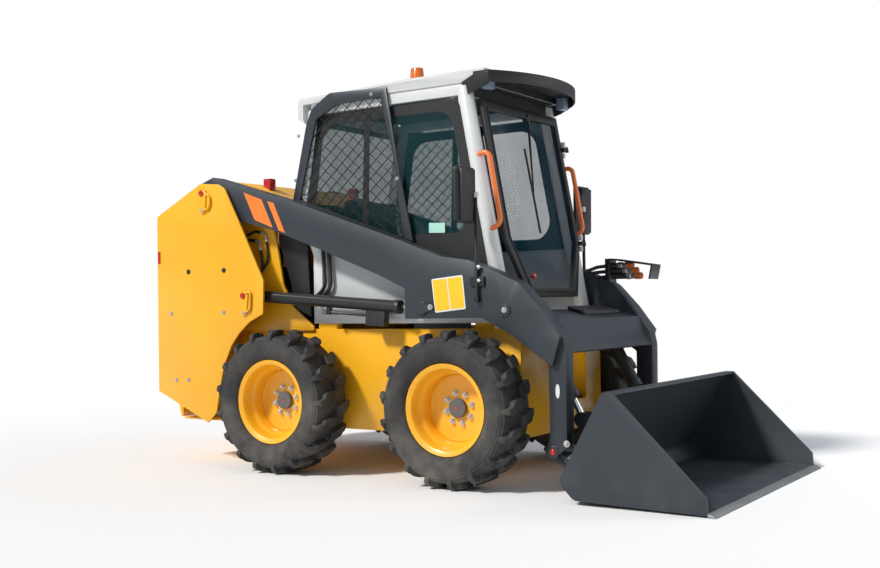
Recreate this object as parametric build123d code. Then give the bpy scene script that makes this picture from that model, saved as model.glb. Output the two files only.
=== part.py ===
from build123d import *
import math
import os

# Skid steer loader, millimetres. +X is the machine's front, +Y its left, +Z up, ground at z = 0.

# Driving dimensions
FRONT_AXLE_X = 373
REAR_AXLE_X = -742
AXLE_Z = 386.5
TYRE_W = 264
WHEEL_Y = 643
RIM_FLANGE_R = 225
LUG_PITCHES = 17

LIFT_PIN = (-1354, 1557)
LIFT_BASE = (-1041, 961)
LIFT_EYE = (145, 875)
TILT_PIN = (863, 193)
TILT_BASE = (690, 790)
TILT_EYE = (936, 336)

TOWER_OUT = (600, 612)
TOWER_IN = (455, 470)
BOOM_Y = (492, 585)
LEG_Y = (478, 555)
CYL_Y = 540
TILT_Y = 380
FIT = 0.05

CAB_SIDE_Y = 455
CAB_SILL_Z = 800
PILLAR_TOP = (343, 1935)
PILLAR_SLOPE = 0.1855
PILLAR_Y = 440
PILLAR_R = 40
HINGE_Z = 1772

CASE_Y = (300, 455)
CASE_TOP_Z = 770
BELLY_Z = 230

BUCKET_HALF = 803
EDGE_X = 1736


# Small makers used throughout

def box(x0, x1, y0, y1, z0, z1):
    return Pos((x0 + x1) / 2, (y0 + y1) / 2, (z0 + z1) / 2) * Box(x1 - x0, y1 - y0, z1 - z0)


def xz_plate(points, y0, y1, radius=0):
    """Plate whose outline lies in the XZ plane, from y0 to y1; radius rounds its corners."""
    edge = FilletPolyline(*points, radius=radius, close=True) if radius else Polyline(*points, close=True)
    return extrude(Plane.XZ.offset(-y1) * make_face(edge), y1 - y0)


def rod_y(x, z, r, y0, y1):
    return Pos(x, (y0 + y1) / 2, z) * Rot(90, 0, 0) * Cylinder(r, y1 - y0)


def rod_z(x, y, r, z0, z1):
    return Pos(x, y, (z0 + z1) / 2) * Cylinder(r, z1 - z0)


def rod(p, q, r):
    """Round bar between two points."""
    p, q = Vector(*p), Vector(*q)
    return extrude(Plane(origin=p, z_dir=q - p) * Circle(r), (q - p).length)


def tube(points, r, bend, sides=8):
    """Many-sided bar along straight runs joined by tangent arcs."""
    path = FilletPolyline(*points, radius=bend)
    start = Plane(origin=path @ 0, z_dir=path % 0)
    return sweep(start * RegularPolygon(r, sides), path=path)


def both(shape):
    """A piece and its mirror image on the other side of the machine."""
    return shape + mirror(shape, about=Plane.XZ)


def left(shape):
    return mirror(shape, about=Plane.XZ)


def along(base, eye, y):
    """Plane at a cylinder's base pin: local Z runs to the eye, local Y is the machine's Y."""
    d = Vector(eye[0] - base[0], 0, eye[1] - base[1])
    return Plane(origin=(base[0], y, base[1]), x_dir=Vector(0, 1, 0).cross(d), z_dir=d)


def bucket_point(u, n):
    """Point at u up the bucket's back and n behind it."""
    return (1012 + 0.4764 * u - 0.879 * n, 98 + 0.879 * u + 0.4764 * n)


def pillar_x(z):
    """Centre line of the sloping front pillars."""
    return PILLAR_TOP[0] + (PILLAR_TOP[1] - z) * PILLAR_SLOPE


NODES = {}


# Wheels: every band is made of flats, two to each lug pitch, so that tyre and rim seat on each other

def flats(profile, extra=None):
    """Ring of flats about the Y axis from a profile in (radius, y); extra is fused to the first flat."""
    count = 2 * LUG_PITCHES
    half = math.radians(180 / count)
    reach = 420
    wedge = extrude(Plane.XZ.offset(-160) * make_face(Polyline(
        (0, 0), (reach, reach * math.tan(half)), (reach, -reach * math.tan(half)), close=True)), 320)
    flat = extrude(Plane.XY * make_face(Polyline(*profile, close=True)), 45, both=True) & wedge
    pieces = [Rot(0, i * 360 / count, 0) * flat for i in range(count)]
    return pieces[0].fuse(*pieces[1:]).clean()


def tyre_shape():
    """Tyre about the Y axis at the origin: flats for the casing, slanted blocks for the tread."""
    half = TYRE_W / 2
    side = [(209, 91.4), (RIM_FLANGE_R + 1, 94.4), (288, half), (352, half - 12)]
    casing = flats([(r, -y) for r, y in side] + [(r, y) for r, y in reversed(side)])
    outline = [(-34, 5), (20, 5), (30, 62), (50, 122), (-8, 122), (-24, 66)]
    blocks = []
    for sign, turn in ((1, 0), (-1, 0.5)):
        face = make_face(Polyline(*[(t, sign * y) for t, y in outline], close=True))
        block = extrude(Plane(origin=(0, 0, 340), x_dir=(1, 0, 0), z_dir=(0, 0, 1)) * face, 43.2)
        blocks += [Rot(0, 360 / LUG_PITCHES * (i + turn), 0) * block for i in range(LUG_PITCHES)]
    return casing.fuse(*blocks)


def rim_shape(side):
    """Deep-dish rim about the Y axis at the origin; side is +1 when +Y is the outer side."""
    rim = [(RIM_FLANGE_R, 101), (208, 92), (208, -92), (RIM_FLANGE_R, -101), (200, -100), (160, -52),
           (0, -52), (0, -14), (48, -14), (48, -38), (164, -38), (172, 40), (198, 99)]
    return flats([(r, side * y) for r, y in rim])


TYRE = tyre_shape()
for name, side in (("right", -1), ("left", 1)):
    RIM = rim_shape(side)
    for end, axle_x in (("front", FRONT_AXLE_X), ("rear", REAR_AXLE_X)):
        place = Pos(axle_x, side * WHEEL_Y, AXLE_Z)
        NODES[f"tyre_{end}_{name}"] = place * TYRE
        NODES[f"rim_{end}_{name}"] = place * RIM


# Main frame: belly plate, chain cases, front panel with its service opening, cab mounts

def main_frame():
    inner, outer = CASE_Y
    frame = box(-1680, 640, -453, 453, BELLY_Z, BELLY_Z + 12)
    side = box(-1240, 640, outer - 15, outer, BELLY_Z, CASE_TOP_Z)
    side += box(-1240, 640, inner, inner + 12, BELLY_Z + 6, CASE_TOP_Z)
    side += box(-1240, 640, inner + 4, outer - 9, CASE_TOP_Z - 12, CASE_TOP_Z)
    side += box(626, 640, inner + 4, outer - 9, BELLY_Z + 6, CASE_TOP_Z)
    for x0, x1 in ((-631, -504), (380, 480)):
        side += box(x0, x1, outer - 55, outer - 3, CASE_TOP_Z - 6, CAB_SILL_Z)
    frame += both(side)
    frame += box(626, 640, -inner - 6, inner + 6, BELLY_Z + 6, 700) - box(620, 650, -40, 270, 380, 640)
    return frame + box(-1240, -1226, -outer + 9, outer - 9, BELLY_Z + 6, 420)


NODES["main_frame"] = main_frame()


def axle_housing(x):
    """Right-hand axle tube with its bolted flange."""
    flange = Plane.XZ.offset(CASE_Y[1]) * (Pos(x, AXLE_Z) * RegularPolygon(112, 8, rotation=22.5))
    return extrude(flange, 16) + rod_y(x, AXLE_Z, 50, -590.5, -CASE_Y[1] - 8)


NODES["axle_housings"] = both(axle_housing(FRONT_AXLE_X) + axle_housing(REAR_AXLE_X))

# Rear towers: outer plate with its wheel arch, inner plate on the chain case, web and pins between

FRONT_EDGE = [(-1224, 1600), (-1178, 1572), (-1043, 1328), (-894, 1045)]
OUTER = [(-1727, 1440), (-1367, 1614)] + FRONT_EDGE + [
    (-900, 858), (-1000, 815), (-1080, 750), (-1140, 680), (-1195, 572), (-1225, 470),
    (-1262, 300), (-1329, 237), (-1727, 405)]
INNER = [(-1722, 1436), (-1367, 1609), (-1224, 1598), (-1100, 1500), (-960, 1420), (-920, 1275),
         (-871, 1023), (-800, 893), (-655, 786), (-655, CASE_TOP_Z - 8), (-1240, CASE_TOP_Z - 8), (-1240, 240),
         (-1329, 240), (-1722, 408)]
WEB = [(-1440, 1572), (-1722, 1436), (-1722, 409), (-1340, 247), (-1340, 260), (-1708, 418), (-1708, 1428),
       (-1440, 1557)]


def tower():
    """Right tower's outer plate and web."""
    shape = xz_plate(OUTER, -TOWER_OUT[1], -TOWER_OUT[0], [20, 30, 30, 30] + [0] * 11)
    return shape + xz_plate(WEB, -TOWER_OUT[0] - 4, -TOWER_IN[1])


def tower_inside():
    """Right tower's inner plate with both pins and their bosses."""
    shape = xz_plate(INNER, -TOWER_IN[1], -TOWER_IN[0])
    for pin, pin_r, boss_r, boss_y in ((LIFT_PIN, 25, 60, BOOM_Y[0] - 1), (LIFT_BASE, 20, 38, CYL_Y - 31)):
        shape += rod_y(*pin, pin_r, -TOWER_OUT[0], -boss_y + 5)
        shape += rod_y(*pin, boss_r, -boss_y, -TOWER_IN[1] + 5)
    return shape


NODES["rear_towers"] = both(tower())
NODES["tower_inner_plates"] = both(tower_inside())

# Engine bay: engine block, radiator, rear bumper

NODES["engine_block"] = box(-1560, -1020, -260, 260, 430, 1130)
NODES["radiator"] = box(-1680, -1600, -380, 380, 470, 1290)
BUMPER = [(-1727, 300), (-1727, 425), (-1690, 425), (-1690, 242), (-1705, 242)]
NODES["rear_bumper"] = xz_plate(BUMPER, -452, 452) + box(-1736, -1720, -40, 40, 330, 400)


# Rear door: framed panel with slanted louvres and hinge knuckles; hood over the engine

def rear_door():
    shape = box(-1722, -1700, -440, 440, 430, 1420) - box(-1730, -1690, -330, 330, 620, 1260)
    slat = xz_plate([(-1719, 0), (-1716, 0), (-1703, 34), (-1706, 34)], -332, 332)
    for i in range(13):
        shape += Pos(0, 0, 640 + 47 * i) * slat
    for z0 in (520, 1240):
        shape += rod_z(-1726, 446, 9, z0, z0 + 80)
    return shape


NODES["rear_door"] = rear_door()
HOOD = [(-1724, 1424), (-1724, 1434), (-1400, 1618), (-1312, 1637), (-1076, 1603), (-867, 1495),
        (-873, 1484), (-1080, 1591), (-1312, 1625), (-1396, 1606), (-1705, 1424)]
HOOD_HINGE = (-870, 1490)
HOOD_SIDE = [(-1722, 1426), (-1400, 1616), (-1312, 1635), (-1076, 1601), (-869, 1494), (-930, 1440),
             (-1340, 1520)]
LAMP = [(-1052, 1590.8), (-1002, 1565), (-1002, 1634), (-1052, 1634)]
NODES["hood"] = xz_plate(HOOD, -446, 446) + both(xz_plate(HOOD_SIDE, 436, 446)) \
    + both(rod_y(*HOOD_HINGE, 9, 200, 300))
NODES["rear_lamps"] = both(xz_plate(LAMP, 372, 422))

# Lift arms: boom, knee and leg as one weldment a side, with the crossmember between the knees

BOOM = [(-1293, 1647), (-707, 1475), (-41, 1249), (261, 1137), (424, 1113), (573, 1054), (707, 996),
        (825, 869), (921, 741), (878, 599), (639, 759), (497, 828), (42, 825), (42, 981), (-110, 1050), (-515, 1204),
        (-858, 1328), (-1067, 1379), (-1300, 1470), (-1400, 1497), (-1423, 1557), (-1398, 1612)]
BOOM_ROUNDS = [0] * 6 + [120, 120] + [0] * 11 + [30, 30, 30]
LEG = [(790, 905), (921, 741), (937, 663), (934, 250), (905, 190), (846, 150), (815, 193), (846, 260),
       (846, 620), (780, 760)]
ROD_POCKET = (42, 360, 509, 571, 700, 960)


def arm():
    """Right lift arm."""
    x0, x1, y0, y1, z0, z1 = ROD_POCKET
    boom = xz_plate(BOOM, -BOOM_Y[1], -BOOM_Y[0], BOOM_ROUNDS)
    boom -= box(x0 - 40, x1, -y1, -y0, z0, z1)
    boom -= rod_y(*LIFT_PIN, 25 + FIT, -600, -480)
    boom += rod_y(630, 866, 30, -BOOM_Y[1] - 9, -BOOM_Y[1] + 4)
    boom += rod_y(600, 862, 40, -BOOM_Y[0] - 4, -BOOM_Y[0] + 6)
    leg = xz_plate(LEG, -LEG_Y[1], -LEG_Y[0], [0, 30, 0, 0, 30, 30, 30, 0, 20, 0])
    leg -= box(780, 960, -536, -497, 100, 285)
    return boom + leg + rod_y(*TILT_PIN, 22, -LEG_Y[1] + 10, -LEG_Y[0] - 10)


def crossmember():
    """Folded plate between the knees, with the ears and pins of the tilt cylinders under it."""
    web = [(690, 862), (862, 815), (937, 663), (926, 656), (853, 804), (690, 849)]
    shape = xz_plate(web, -LEG_Y[0], LEG_Y[0])
    ear = [(652, 857), (740, 850), (728, 790), (705, 754), (675, 754), (652, 790)]
    for y in (TILT_Y - 35, TILT_Y + 23):
        shape += both(xz_plate(ear, y, y + 12))
    return shape + both(rod_y(*TILT_BASE, 18, TILT_Y - 24, TILT_Y + 24))


NODES["lift_arms"] = both(arm()) + crossmember()


def step():
    """Toothed tread strip on the crossmember."""
    teeth = [(700 + 15 * i + dx, 867.5 - 4.05 * i + dz) for i in range(7) for dx, dz in ((0, 12), (8, 5))]
    return xz_plate([(700, 860.5)] + teeth + [(798, 842), (798, 834.5)], -60, 370)


NODES["step"] = step()


# Lift cylinders

BARREL_END = 8


def barrel(length, r, gland_r, gland_l, eye_r, eye_w, pin_r, rod_r, neck):
    """Cylinder barrel on local Z: base eye on a neck at 0, gland at its far end, bored for the rod."""
    shape = Pos(0, 0, (neck + length) / 2) * Cylinder(r, length - neck)
    shape += Pos(0, 0, length + gland_l / 2 - 1) * Cylinder(gland_r, gland_l)
    shape += Rot(90, 0, 0) * Cylinder(eye_r, eye_w) + Pos(0, 0, neck / 2 + 8) * Box(36, eye_w, neck - 8)
    shape -= Rot(90, 0, 0) * Cylinder(pin_r + FIT, eye_w + 10)
    bore_from, bore_to = neck + BARREL_END, length + gland_l + 10
    return shape - Pos(0, 0, (bore_from + bore_to) / 2) * Cylinder(rod_r + FIT, bore_to - bore_from)


def cylinder_rod(length, start, r, eye_r, eye_w):
    """Piston rod on local Z from inside the barrel to its eye."""
    return Pos(0, 0, (start + length) / 2) * Cylinder(r, length - start) \
        + Pos(0, 0, length) * Rot(90, 0, 0) * Cylinder(eye_r, eye_w)


def lift_barrel():
    shape = barrel(1000, 32, 36, 30, 36, 56, 20, 17, 50)
    shape += Pos(69, 0, 882) * Box(79, 44, 121)
    shape += Pos(45, 0, 560) * Box(50, 24, 24)
    shape += Pos(57, 0, 700) * extrude(RegularPolygon(8, 8), 145, both=True)
    return along(LIFT_BASE, LIFT_EYE, -CYL_Y) * shape


def lift_rod():
    length = math.dist(LIFT_BASE, LIFT_EYE)
    return along(LIFT_BASE, LIFT_EYE, -CYL_Y) * cylinder_rod(length, 130, 17, 38, 56)


# Tilt cylinders

def tilt_barrel():
    return along(TILT_BASE, TILT_EYE, -TILT_Y) * barrel(366, 35, 40, 40, 36, 44, 18, 18, 50)


def tilt_rod():
    length = math.dist(TILT_BASE, TILT_EYE)
    return along(TILT_BASE, TILT_EYE, -TILT_Y) * cylinder_rod(length, 116, 18, 34, 40)


for name, maker in (("lift_barrel", lift_barrel), ("lift_rod", lift_rod), ("tilt_barrel", tilt_barrel),
                    ("tilt_rod", tilt_rod)):
    NODES[f"{name}_right"] = maker()
    NODES[f"{name}_left"] = left(maker())


# Quick coupler and bucket

def coupler():
    shape = xz_plate([bucket_point(u, n) for u, n in ((10, 1), (430, 1), (430, 16), (10, 16))], -560, 560)
    ear = [bucket_point(u, n) for u, n in ((-30, 10), (110, 10), (70, 176), (40, 208), (-15, 208), (-35, 176))]
    ear = xz_plate(ear, -533, -500, [0, 0, 0, 30, 30, 0])
    shape += both(ear - rod_y(*TILT_PIN, 22 + FIT, -540, -490))
    upper = ((100, 10), (280, 10), (205, 195), (185, 214), (160, 214), (138, 195))
    upper = [bucket_point(u, n) for u, n in upper]
    for y in (TILT_Y - 33, TILT_Y + 21):
        shape += both(xz_plate(upper, y, y + 12))
    return shape


def bucket():
    """Folded shell with rounded heel, side plates and the strips that stiffen their edges."""
    shell = [(1700, 6), (1085, 20), (1012, 98), (1232, 504), (1276, 504), (1276, 492), (1242, 492),
             (1026, 100), (1090, 32), (1700, 16)]
    sides = [(1700, 6), (1085, 20), (1012, 98), (1232, 504), (1276, 504), (1694, 81)]
    shape = xz_plate(shell, -BUCKET_HALF, BUCKET_HALF, [0, 45, 45, 0, 0, 0, 0, 33, 33, 0])
    shape += both(xz_plate(sides, BUCKET_HALF - 12, BUCKET_HALF, [0, 45, 45, 0, 0, 0]))
    strip = [(1205, 447), (1232, 500), (1276, 504), (1694, 81), (1700, 8), (1528, 12), (1530, 135)]
    return shape + both(xz_plate(strip, BUCKET_HALF - 2, BUCKET_HALF + 6))


NODES["coupler"] = coupler()
NODES["bucket"] = bucket()
NODES["cutting_edge"] = xz_plate([(EDGE_X, 0.5), (EDGE_X, 4), (1700, 20), (1700.5, 0.5)], -811, 811)

# Cab: pillars, posts, rails and sills; roof panel; glass and panels

PILLARS = both(rod((pillar_x(840), PILLAR_Y, 840), (pillar_x(2000), PILLAR_Y, 2000), PILLAR_R))
POST = [(-680, 1985), (-775, 1440), (-660, 1180), (-660, CAB_SILL_Z), (-600, CAB_SILL_Z), (-600, 1193),
        (-712, 1443), (-618, 1985)]


def cab_frame():
    side = xz_plate(POST, 395, CAB_SIDE_Y)
    side += box(-640, pillar_x(840) + 20, 395, CAB_SIDE_Y, CAB_SILL_Z, 850)
    side += box(-660, 340, 405, CAB_SIDE_Y, 1960, 2020)
    shape = PILLARS + both(side)
    for x, z in ((-665, 1935), (-655, CAB_SILL_Z - 12)):
        shape += box(x, x + 50, -400, 400, z, z + 50)
    shape += box(300, 350, -410, 410, 1965, 2020)
    for z in (HINGE_Z, 1240):
        x = pillar_x(z)
        shape += box(x + 34, x + 79, 426, 444, z - 60, z - 32)
        shape += box(x + 34, x + 79, 426, 444, z + 2, z + 30)
    return shape


def cab_roof():
    outline = [(-701, 1912), (-752, 1943), (-750, 2057), (0, 2083), (458, 2083), (458, 2067), (400, 2067),
               (400, 2030), (380, 2020), (-715, 2020), (-715, 1935)]
    slab = xz_plate(outline, -462, 462)
    brow = [e for e in slab.edges() if abs(abs(e.center().Y) - 462) < 1 and e.center().Z > 2068
            and e.length > 300]
    return chamfer(brow, 14)


NODES["cab_frame"] = cab_frame()
NODES["cab_roof"] = cab_roof()


def beacon():
    """Sixteen-sided base and tapered lens standing on the roof's rear slope."""
    foot = Plane.XY.offset(2070) * (Pos(-53, -300) * RegularPolygon(46, 16))
    lens = Plane.XY.offset(2092) * (Pos(-53, -300) * RegularPolygon(40, 16))
    return extrude(foot, 22) + extrude(lens, 74, taper=5) - NODES["cab_roof"]


NODES["beacon"] = beacon()


def visor():
    """Bowed sun visor: slotted top plate, front lip and side skirts."""
    def bow(front, side_y):
        rim = ThreePointArc((488, -side_y), (front, 0), (488, side_y))
        return make_face(rim + Polyline((488, side_y), (400, side_y), (400, -side_y), (488, -side_y)))

    top, lip = bow(650, 470), bow(640, 462)
    shape = extrude(Plane.XY.offset(2050) * top, 16)
    shape += extrude(Plane.XY.offset(2006) * top, 46) - extrude(Plane.XY.offset(2000) * lip, 60) \
        - box(390, 489, -480, 480, 1990, 2050)
    skirt = [(344, 1950), (416, 1971), (489, 2006), (489, 2052), (400, 2052), (332, 2020)]
    skirt = xz_plate(skirt, 462, 470)
    shape += both(skirt) - PILLARS
    slot = Pos(0, 0, 2058) * Box(30, 13, 40)
    for x, count in ((540, 9), (480, 11)):
        for i in range(count):
            shape -= Pos(x, (i - (count - 1) / 2) * 52, 0) * slot
    return shape


NODES["visor"] = visor()
NODES["work_lamps"] = both(box(430, 476, 380, 440, 1980, 2050))

GUARD_OUT = [(-787, 1475), (-679, 1912), (-639, 1990), (-514, 2062), (-137, 2050), (-53, 1579), (22, 1229)]
GUARD_IN = [(-737, 1491), (-612, 1927), (-468, 1994), (-173, 2001), (-95, 1689), (-34, 1245)]
GUARD_IN_ROUNDS = [0, 40, 40, 0, 0, 0]


def side_guard():
    """Frame of the side window's wire guard, on stand-offs from the cab."""
    frame = xz_plate(GUARD_OUT, 466, 478, [0, 60, 60, 60, 0, 0, 0])
    frame -= xz_plate(GUARD_IN, 460, 490, GUARD_IN_ROUNDS)
    for x, z in ((-745, 1500), (-632, 1960), (-190, 2006)):
        frame += box(x - 10, x + 10, CAB_SIDE_Y, 470, z - 10, z + 10)
    frame += box(-12, 6, 452, 470, 1238, 1256)
    return frame


NODES["side_guards"] = both(side_guard())
WIRE_PITCH, WIRE_ANGLE, WIRE = 50, 41, 4


def guard_wires(slope, y0):
    """Parallel wires of one layer, cut to the guard's opening."""
    opening = xz_plate(GUARD_IN, y0, y0 + WIRE, GUARD_IN_ROUNDS)
    middle = Pos(-400, y0 + WIRE / 2, 1640) * Rot(0, slope * WIRE_ANGLE, 0)
    wires = [(middle * Pos(0, 0, WIRE_PITCH * i) * Box(1400, WIRE, WIRE)) & opening for i in range(-11, 12)]
    return Compound(children=[solid for wire in wires if wire for solid in wire.solids()])


NODES["guard_wires_rising"] = Compound(children=both(guard_wires(-1, 468)).solids())
NODES["guard_wires_falling"] = Compound(children=both(guard_wires(1, 468 + WIRE)).solids())

PANE = [(-598, 1197), (-709, 1443), (-621, 1957), (pillar_x(1957) - 42, 1957), (pillar_x(1197) - 42, 1197)]
PANEL = [(-598, 850), (-598, 1260), (pillar_x(1260) - 42, 1260), (pillar_x(850) - 42, 850)]
REAR_WALL = [(-655, 845), (-655, 1180), (-765, 1440), (-755, 1444), (-645, 1182), (-645, 845)]
NODES["side_panels"] = both(xz_plate(PANEL, 446, 452) + box(-590, 420, 446, 470, 862, 872))
NODES["cab_windows"] = both(xz_plate(PANE, 438, 444)) + \
    xz_plate([(-763, 1447), (-674, 1955), (-666, 1954), (-755, 1446)], -394, 394)
COVER = [(-909, 1275), (-895, 1440), (-742, 1440), (-700, 1243), (-677, 836), (-800, 893), (-819, 1021)]
NODES["side_covers"] = both(xz_plate(COVER, CAB_SIDE_Y, 461))

# Cab inside: floor tub, seat, side consoles with levers

tub = box(-100, 600, -295, 295, 380, 392) + box(-112, -100, -295, 295, 380, 850)
tub += box(-645, -104, -395, 395, 838, 850)
NODES["cab_floor"] = tub + xz_plate(REAR_WALL, -395, 395)
NODES["seat_base"] = box(-520, -180, -190, 190, 850, 940)
CUSHION = [(-500, 941), (-500, 1020), (-60, 1050), (-40, 1020), (-60, 941)]
NODES["seat_cushion"] = xz_plate(CUSHION, -215, 215, 14)
NODES["seat_back"] = xz_plate([(-575, 1022), (-640, 1500), (-560, 1512), (-505, 1022)], -210, 210, 20)


def console():
    lever = Pos(10, 338, 1150) * Rot(0, 15, 0) * Box(16, 16, 110) + Pos(30, 334, 1240) * Box(34, 30, 74)
    return box(-560, 40, 290, 390, 850, 1120) + lever


NODES["control_boxes"] = both(console())

# Front door on the sloping pillars, hinged at the machine's left

DOOR_PLANE = Plane(origin=(pillar_x(HINGE_Z) + 45, 0, HINGE_Z), x_dir=(0, 1, 0), z_dir=(1, 0, PILLAR_SLOPE))
HINGE_X = pillar_x(HINGE_Z) + 89


def door_outline(inset):
    up = DOOR_PLANE.y_dir.Z
    top, mid = (1935 - HINGE_Z) / up - inset, (1210 - HINGE_Z) / up + inset * 0.4
    low = (925 - HINGE_Z) / up + inset
    wide, narrow = 412 - inset, 270 - inset
    return [(-wide, top), (wide, top), (wide, mid), (narrow, low), (-narrow, low), (-wide, mid)]


def door_frame():
    shape = extrude(DOOR_PLANE * make_face(Polyline(*door_outline(0), close=True)), 24)
    shape -= extrude(DOOR_PLANE.offset(-5) * make_face(Polyline(*door_outline(45), close=True)), 40)
    down = Vector(PILLAR_SLOPE, 0, -1).normalized()
    for z in (HINGE_Z, 1240):
        top = Vector(HINGE_X + (HINGE_Z - z) * PILLAR_SLOPE, 435, z)
        shape += extrude(Plane(origin=top, z_dir=down) * Circle(9), 30)
        shape += box(top.X - 30, top.X + 4, 400, 435, z - 28, z - 4)
    return shape


NODES["door_frame"] = door_frame()
pane = make_face(Polyline(*door_outline(45.4), close=True))
NODES["door_glass"] = extrude(DOOR_PLANE.offset(8) * pane, 6)


# Grab handles on the pillars

def grab():
    y = 462
    top, low = 1645, 1264
    points = [(pillar_x(top) + 10, y, top), (481, y, 1662), (546, y, 1294), (pillar_x(low) + 10, y, low)]
    return tube(points, 13, 40) - PILLARS


NODES["grab_handles"] = both(grab())


# Mirrors on poles from the arms' outer faces

def mirror_set():
    pole = rod((481, 598, 917), (481, 598, 1425), 9)
    stay = box(440, 520, 585, 597, 985, 1030) + box(470, 492, 585, 610, 905, 930)
    head = xz_plate([(435, 1305), (441, 1556), (478, 1552), (474, 1300)], 592, 715)
    return pole + stay + head


NODES["mirrors"] = both(mirror_set())


# Auxiliary couplers on the left arm

def aux_couplers():
    """Bracket standing on the boom, its guard plate and three couplers pointing forwards."""
    guard = [(689, 1128), (689, 1137), (704, 1137), (947, 1098), (930, 1017), (921, 1019), (936, 1091), (704, 1128)]
    foot = [(660, 1016.8), (690, 1003.8), (690, 1137), (660, 1137)]
    shape = xz_plate(foot, 492, 580) + xz_plate(guard, 480, 600)
    for x, z in ((808, 1098), (837, 1068), (859, 1038)):
        shape += extrude(Plane(origin=(655, 535, z), z_dir=(1, 0, 0)) * RegularPolygon(16, 6), x - 655)
    return shape


NODES["aux_couplers"] = aux_couplers()

# Hydraulic hoses held along the cab's side, from the valve to the cylinder feed

HOSE_BENDS = [45, 60]


def hose(x, y):
    """Hose from behind the boom down to the sill."""
    return tube([(x - 60, y, 1330), (x, y, 1240), (x + 18, y, 1000), (x - 90, y, 915)], 11, HOSE_BENDS, 6)


NODES["hoses"] = both(hose(-540, 474) + hose(-580, 474))

# Write every piece

os.makedirs("parts", exist_ok=True)
for name, shape in NODES.items():
    export_step(shape, f"parts/{name}.step")
print(len(NODES), "nodes written")
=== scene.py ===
import math

import bmesh
import bpy
import numpy as np
from mathutils import Matrix


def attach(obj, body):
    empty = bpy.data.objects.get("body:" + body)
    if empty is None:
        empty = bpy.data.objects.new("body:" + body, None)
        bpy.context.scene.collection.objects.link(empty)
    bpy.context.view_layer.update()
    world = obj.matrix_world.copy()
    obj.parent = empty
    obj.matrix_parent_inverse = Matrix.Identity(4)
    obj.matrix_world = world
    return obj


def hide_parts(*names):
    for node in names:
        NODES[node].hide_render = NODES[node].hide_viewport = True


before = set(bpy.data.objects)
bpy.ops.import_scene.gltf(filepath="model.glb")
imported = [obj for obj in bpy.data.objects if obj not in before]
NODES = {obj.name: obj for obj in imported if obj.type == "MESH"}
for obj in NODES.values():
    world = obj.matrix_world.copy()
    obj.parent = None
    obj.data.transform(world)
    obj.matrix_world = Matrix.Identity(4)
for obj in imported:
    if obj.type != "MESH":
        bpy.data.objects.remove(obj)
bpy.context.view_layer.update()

# Camera
# The photograph was taken from about waist height and some 6 m away, ahead of the machine and on its right.
# It looks almost level, rolled by under a degree; the small shift is the photograph's own framing.
CAMERA_AT = (3.354, -5.349, 0.907)
AZIMUTH, PITCH, ROLL = (math.radians(a) for a in (33.843, 0.833, -0.869))
FOCAL_PX, WIDTH_PX, SENSOR_MM = 1135.87, 880, 36
SHIFT_X, SHIFT_Y = 0.0186, 0.0024
camera = bpy.data.objects.new("camera", bpy.data.cameras.new("camera"))
bpy.context.scene.collection.objects.link(camera)
bpy.context.scene.camera = camera
ahead = np.array((-math.sin(AZIMUTH) * math.cos(PITCH), math.cos(AZIMUTH) * math.cos(PITCH), math.sin(PITCH)))
level = np.cross(ahead, (0, 0, 1))
level /= np.linalg.norm(level)
upright = np.cross(level, ahead)
to_right = math.cos(ROLL) * level + math.sin(ROLL) * upright
to_top = -math.sin(ROLL) * level + math.cos(ROLL) * upright
pose = np.eye(4)
pose[:3, 0], pose[:3, 1], pose[:3, 2], pose[:3, 3] = to_right, to_top, -ahead, CAMERA_AT
camera.matrix_world = Matrix(pose.tolist())
camera.data.sensor_width = SENSOR_MM
camera.data.lens = SENSOR_MM * FOCAL_PX / WIDTH_PX
camera.data.shift_x = SHIFT_X
camera.data.shift_y = SHIFT_Y
camera.data.clip_end = 100

# Studio
# A pale seamless floor and a white backdrop stand in for the cut-out photograph, with one hazy sun high on
# the machine's right and a little behind it, so that its front faces are lit by the sky and a soft fill.
scene = bpy.context.scene
scene.view_settings.view_transform = "Standard"


def nodes_of(material):
    """Clears a material's nodes and returns (nodes, links, output)."""
    material.use_nodes = True
    tree = material.node_tree
    tree.nodes.clear()
    return tree.nodes, tree.links, tree.nodes.new("ShaderNodeOutputMaterial")


world = bpy.data.worlds.new("hazy_sky")
scene.world = world
world.use_nodes = True
sky_nodes, sky_links = world.node_tree.nodes, world.node_tree.links
sky_nodes.clear()
seen = sky_nodes.new("ShaderNodeLightPath")
seen_any = sky_nodes.new("ShaderNodeMath")
seen_any.operation = "MAXIMUM"
sky_links.new(seen.outputs["Is Camera Ray"], seen_any.inputs[0])
sky_links.new(seen.outputs["Is Transmission Ray"], seen_any.inputs[1])
white, dome, mix_sky = (sky_nodes.new(kind) for kind in
                        ("ShaderNodeBackground", "ShaderNodeBackground", "ShaderNodeMixShader"))
white.inputs["Color"].default_value = (1, 1, 1, 1)
white.inputs["Strength"].default_value = 1.0
dome.inputs["Color"].default_value = (0.80, 0.88, 1.0, 1)
dome.inputs["Strength"].default_value = 0.42
sky_links.new(seen_any.outputs[0], mix_sky.inputs[0])
sky_links.new(dome.outputs[0], mix_sky.inputs[1])
sky_links.new(white.outputs[0], mix_sky.inputs[2])
sky_links.new(mix_sky.outputs[0], sky_nodes.new("ShaderNodeOutputWorld").inputs["Surface"])


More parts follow.
